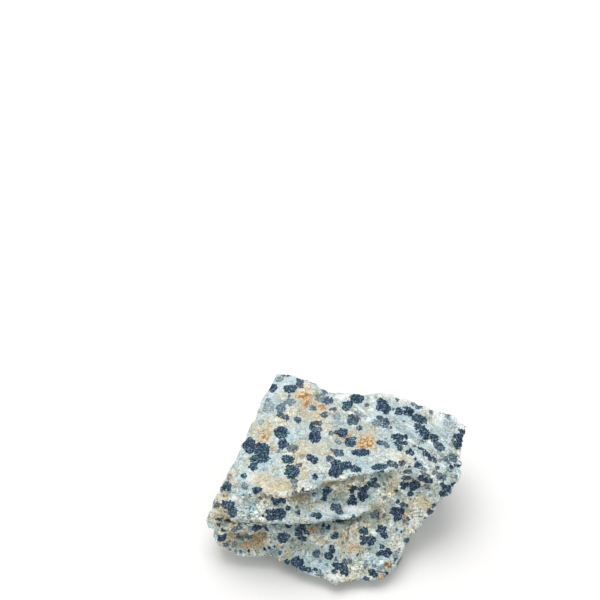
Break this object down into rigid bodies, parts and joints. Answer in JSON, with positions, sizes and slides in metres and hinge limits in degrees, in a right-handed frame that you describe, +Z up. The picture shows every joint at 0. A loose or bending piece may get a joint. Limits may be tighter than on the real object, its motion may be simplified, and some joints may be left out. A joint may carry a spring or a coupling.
{
  "type": "rough rock",
  "caption": "Palm-sized rough chunk of pale stone with dark spots, broken on every side, with a broad upper face and a stepped front, lying on a flat break.",
  "frame": {"origin": "on the surface that the stone lies on, under the middle of its bounding box", "axes": "+X to the stone's right along its longest extent, +Y away from its stepped front, +Z up along its shortest extent"},
  "size_m": [0.0618, 0.0478, 0.0244],
  "materials": {
    "spotted_stone": "unpolished broken feldspar rock: cream and pale blue ground with slate-blue rosette spots and a few orange iron stains"
  },
  "bodies": {
    "root": {"rough_rock": "spotted_stone"}
  },
  "joints": []
}
